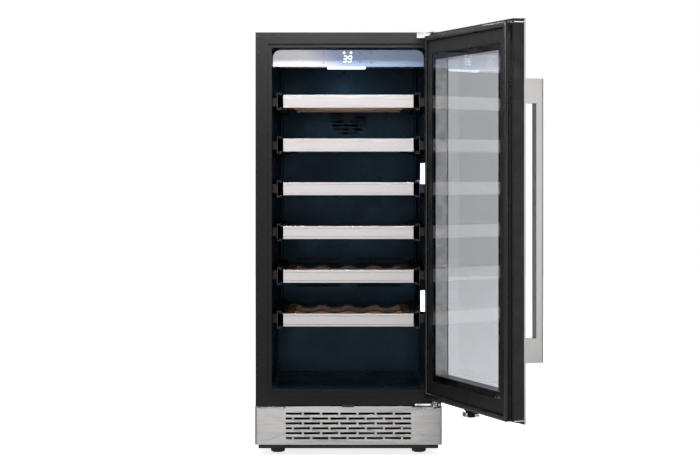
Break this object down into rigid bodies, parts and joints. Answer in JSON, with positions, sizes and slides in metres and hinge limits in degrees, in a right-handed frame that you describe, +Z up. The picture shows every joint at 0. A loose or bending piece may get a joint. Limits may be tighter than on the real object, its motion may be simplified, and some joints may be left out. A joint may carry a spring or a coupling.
{
  "type": "wine cooler",
  "caption": "Slim under-counter wine cooler with a glass door hinged on the right, wooden slide-out shelves with steel fronts and a vented kick plate.",
  "frame": {"origin": "on the floor, at the centre of the four levelling feet", "axes": "+Z up, +X to the right seen from the front, +Y into the cabinet; the door and shelves open towards -Y"},
  "size_m": [0.5541, 0.8978, 0.865],
  "materials": {
    "case_black": "fine satin powder coat",
    "frame_black": "satin textured black",
    "liner_black": "glossy black thermoformed liner",
    "stainless": "brushed stainless steel, horizontal grain",
    "shelf_steel": "light brushed stainless steel",
    "zinc": "zinc-plated sheet",
    "slide_black": "black electrophoretic coat",
    "bright_metal": "bright plated steel",
    "beech": "oiled beech",
    "tinted_glass": "grey tinted, low-emissivity",
    "seal_rubber": "matt extruded seal",
    "foam": "rigid polyurethane foam",
    "panel_silver": "silver film, fine horizontal grain",
    "circuit": "green solder mask",
    "lamp_lens": "frosted diffuser, lit from behind",
    "spacer_metal": "mill-finish extruded aluminium, black sealant on its faces",
    "coil_metal": "drawn aluminium",
    "copper": "annealed copper, slightly dulled",
    "enamel_black": "glossy black enamel",
    "fan_plastic": "moulded black"
  },
  "bodies": {
    "cabinet": {"side_panel_left": "case_black", "side_panel_right": "case_black", "top_panel": "case_black", "back_panel": "zinc", "machine_bulkhead": "zinc", "inner_liner": "liner_black", "insulation_foam": "foam", "front_frame": "frame_black", "frame_screws": "case_black", "base_pan": "case_black", "kick_plate": "stainless", "hinge_brackets": "bright_metal", "lock_striker": "slide_black", "evaporator_cover": "liner_black", "evaporator_coil": "coil_metal", "circulation_fan_frame": "fan_plastic", "control_panel": "panel_silver", "control_board": "circuit", "cavity_lamps": "lamp_lens", "compressor": "enamel_black", "compressor_mounts": "seal_rubber", "condenser_coil": "enamel_black", "condenser_fan_frame": "fan_plastic", "refrigerant_pipes": "copper", "rear_cover": "case_black", "cable_gland": "fan_plastic", "slide_rails": "slide_black"},
    "door": {"door_frame": "frame_black", "door_skin": "stainless", "inner_glass": "tinted_glass", "outer_glass": "tinted_glass", "glass_spacer": "spacer_metal", "door_gasket": "seal_rubber", "handle": "stainless", "lock_housing": "frame_black"},
    "lock": {"lock_cylinder": "bright_metal"},
    "circulation_fan": {"circulation_fan_rotor": "fan_plastic"},
    "condenser_fan": {"condenser_fan_rotor": "fan_plastic"},
    "foot_front_left": {"foot_front_left": "fan_plastic"},
    "foot_front_right": {"foot_front_right": "fan_plastic"},
    "foot_rear_left": {"foot_rear_left": "fan_plastic"},
    "foot_rear_right": {"foot_rear_right": "fan_plastic"},
    "shelf_1": {"shelf_1_front": "shelf_steel", "shelf_1_rack": "beech", "shelf_1_runners": "slide_black"},
    "shelf_2": {"shelf_2_front": "shelf_steel", "shelf_2_rack": "beech", "shelf_2_runners": "slide_black"},
    "shelf_3": {"shelf_3_front": "shelf_steel", "shelf_3_rack": "beech", "shelf_3_runners": "slide_black"},
    "shelf_4": {"shelf_4_front": "shelf_steel", "shelf_4_rack": "beech", "shelf_4_runners": "slide_black"},
    "shelf_5": {"shelf_5_front": "shelf_steel", "shelf_5_rack": "beech", "shelf_5_runners": "slide_black"},
    "shelf_6": {"shelf_6_front": "shelf_steel", "shelf_6_rack": "beech", "shelf_6_runners": "slide_black"}
  },
  "joints": [
    {"name": "door_hinge", "type": "hinge", "parent": "cabinet", "child": "door", "pos_m": [0.176, -0.287, 0.488], "axis": [0, 0, 1], "range_deg": [-111.2, 3.8]},
    {"name": "lock_turn", "type": "hinge", "parent": "door", "child": "lock", "pos_m": [0.23592, -0.45254, 0.109], "axis": [-0.9323, -0.3616, 0], "range_deg": [0, 90]},
    {"name": "circulation_fan_spin", "type": "hinge", "parent": "cabinet", "child": "circulation_fan", "pos_m": [0, 0.1995, 0.705], "axis": [0, 1, 0], "continuous": true},
    {"name": "condenser_fan_spin", "type": "hinge", "parent": "cabinet", "child": "condenser_fan", "pos_m": [-0.06, -0.1515, 0.06], "axis": [0, 1, 0], "continuous": true},
    {"name": "shelf_1_slide", "type": "slide", "parent": "cabinet", "child": "shelf_1", "axis": [0, -1, 0], "range_m": [0, 0.25]},
    {"name": "shelf_2_slide", "type": "slide", "parent": "cabinet", "child": "shelf_2", "axis": [0, -1, 0], "range_m": [0, 0.25]},
    {"name": "shelf_3_slide", "type": "slide", "parent": "cabinet", "child": "shelf_3", "axis": [0, -1, 0], "range_m": [0, 0.25]},
    {"name": "shelf_4_slide", "type": "slide", "parent": "cabinet", "child": "shelf_4", "axis": [0, -1, 0], "range_m": [0, 0.25]},
    {"name": "shelf_5_slide", "type": "slide", "parent": "cabinet", "child": "shelf_5", "axis": [0, -1, 0], "range_m": [0, 0.25]},
    {"name": "shelf_6_slide", "type": "slide", "parent": "cabinet", "child": "shelf_6", "axis": [0, -1, 0], "range_m": [0, 0.25]},
    {"name": "foot_front_left_turn", "type": "hinge", "parent": "cabinet", "child": "foot_front_left", "pos_m": [-0.146, -0.215, 0.006], "axis": [0, 0, 1], "continuous": true},
    {"name": "foot_front_right_turn", "type": "hinge", "parent": "cabinet", "child": "foot_front_right", "pos_m": [0.146, -0.215, 0.006], "axis": [0, 0, 1], "continuous": true},
    {"name": "foot_rear_left_turn", "type": "hinge", "parent": "cabinet", "child": "foot_rear_left", "pos_m": [-0.146, 0.215, 0.006], "axis": [0, 0, 1], "continuous": true},
    {"name": "foot_rear_right_turn", "type": "hinge", "parent": "cabinet", "child": "foot_rear_right", "pos_m": [0.146, 0.215, 0.006], "axis": [0, 0, 1], "continuous": true}
  ]
}
